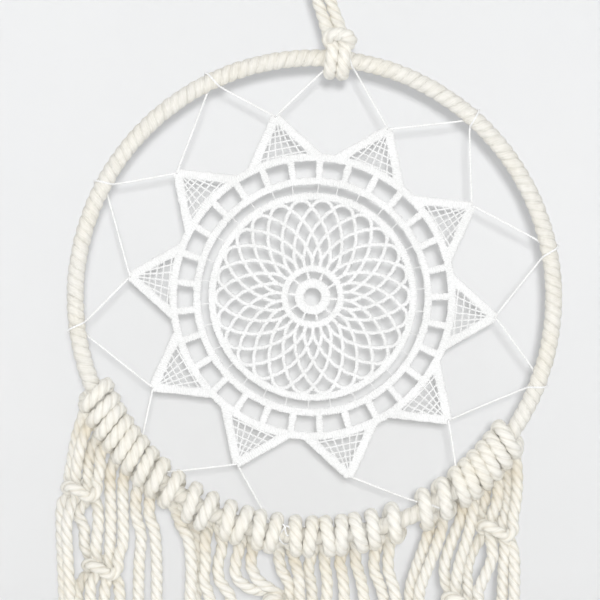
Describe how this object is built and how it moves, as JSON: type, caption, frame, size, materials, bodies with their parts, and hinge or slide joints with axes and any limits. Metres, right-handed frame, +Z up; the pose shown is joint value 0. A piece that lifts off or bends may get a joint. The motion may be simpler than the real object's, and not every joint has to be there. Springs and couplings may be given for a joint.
{
  "type": "dream catcher",
  "caption": "Wall-hung dream catcher: a cotton-wrapped hoop with a laced-in round lace doily and a knotted cotton cord fringe, on a looped hanging cord.",
  "frame": {"origin": "where the hanging loop rests on its nail or hook, at the inside of the top of the loop", "axes": "+Z up, the hoop stands in the XZ plane and its front face looks towards -Y, +X is to the right seen from the front"},
  "size_m": [0.2109, 0.0233, 0.5858],
  "materials": {
    "cotton_cord": "natural undyed three-ply cotton cord, matte, slightly fuzzy",
    "cotton_winding": "natural cotton cord wound closely round the ring, matte",
    "lace": "white chemical lace, matte satin-stitch thread",
    "lacing_thread": "white twisted sewing thread, matte",
    "ring_steel": "plain round steel wire, hidden by the winding"
  },
  "bodies": {
    "loop": {"hanging_loop": "cotton_cord", "top_knot": "cotton_cord"},
    "hanger": {"hanging_leg_left": "cotton_cord", "hanging_leg_right": "cotton_cord"},
    "knot": {"hanging_knot": "cotton_cord"},
    "hoop": {"steel_ring": "ring_steel", "ring_winding": "cotton_winding", "lace_doily": "lace", "lacing_thread": "lacing_thread", "fringe_knot_01": "cotton_cord", "fringe_knot_02": "cotton_cord", "fringe_knot_03": "cotton_cord", "fringe_knot_04": "cotton_cord", "fringe_knot_05": "cotton_cord", "fringe_knot_06": "cotton_cord", "fringe_knot_07": "cotton_cord", "fringe_knot_08": "cotton_cord", "fringe_knot_09": "cotton_cord", "fringe_knot_10": "cotton_cord", "fringe_knot_11": "cotton_cord", "fringe_knot_12": "cotton_cord", "fringe_knot_13": "cotton_cord", "fringe_knot_14": "cotton_cord", "fringe_knot_15": "cotton_cord"},
    "fringe_left": {"fringe_tail_01_left": "cotton_cord", "fringe_tail_01_right": "cotton_cord", "fringe_tail_02_left": "cotton_cord", "fringe_tail_02_right": "cotton_cord", "fringe_tail_03_left": "cotton_cord", "fringe_tail_03_right": "cotton_cord", "fringe_tail_04_left": "cotton_cord", "fringe_tail_04_right": "cotton_cord"},
    "fringe_middle": {"fringe_tail_05_left": "cotton_cord", "fringe_tail_05_right": "cotton_cord", "fringe_tail_06_left": "cotton_cord", "fringe_tail_06_right": "cotton_cord", "fringe_tail_07_left": "cotton_cord", "fringe_tail_07_right": "cotton_cord", "fringe_tail_08_left": "cotton_cord", "fringe_tail_08_right": "cotton_cord", "fringe_tail_09_left": "cotton_cord", "fringe_tail_09_right": "cotton_cord", "fringe_tail_10_left": "cotton_cord", "fringe_tail_10_right": "cotton_cord", "fringe_tail_11_left": "cotton_cord", "fringe_tail_11_right": "cotton_cord"},
    "fringe_right": {"fringe_tail_12_left": "cotton_cord", "fringe_tail_12_right": "cotton_cord", "fringe_tail_13_left": "cotton_cord", "fringe_tail_13_right": "cotton_cord", "fringe_tail_14_left": "cotton_cord", "fringe_tail_14_right": "cotton_cord", "fringe_tail_15_left": "cotton_cord", "fringe_tail_15_right": "cotton_cord"}
  },
  "joints": [
    {"name": "swing", "type": "hinge", "parent": "loop", "child": "hanger", "pos_m": [0, 0, -0.043], "axis": [0, 1, 0], "range_deg": [-12, 12]},
    {"name": "twist", "type": "hinge", "parent": "hanger", "child": "knot", "pos_m": [0, 0, -0.11], "axis": [0, 0, 1], "range_deg": [-90, 90], "stiffness_Nm_per_rad": 0.0004},
    {"name": "tilt", "type": "hinge", "parent": "knot", "child": "hoop", "pos_m": [0.01586, -0.002, -0.12676], "axis": [0.9954, 0, -0.0958], "range_deg": [-20, 20]},
    {"name": "fringe_left_sway", "type": "hinge", "parent": "hoop", "child": "fringe_left", "pos_m": [-0.08, 0.003, -0.271], "axis": [1, 0, 0], "range_deg": [-15, 15]},
    {"name": "fringe_middle_sway", "type": "hinge", "parent": "hoop", "child": "fringe_middle", "pos_m": [-0.004, 0.003, -0.312], "axis": [1, 0, 0], "range_deg": [-15, 15]},
    {"name": "fringe_right_sway", "type": "hinge", "parent": "hoop", "child": "fringe_right", "pos_m": [0.077, 0.003, -0.29], "axis": [1, 0, 0], "range_deg": [-15, 15]}
  ]
}
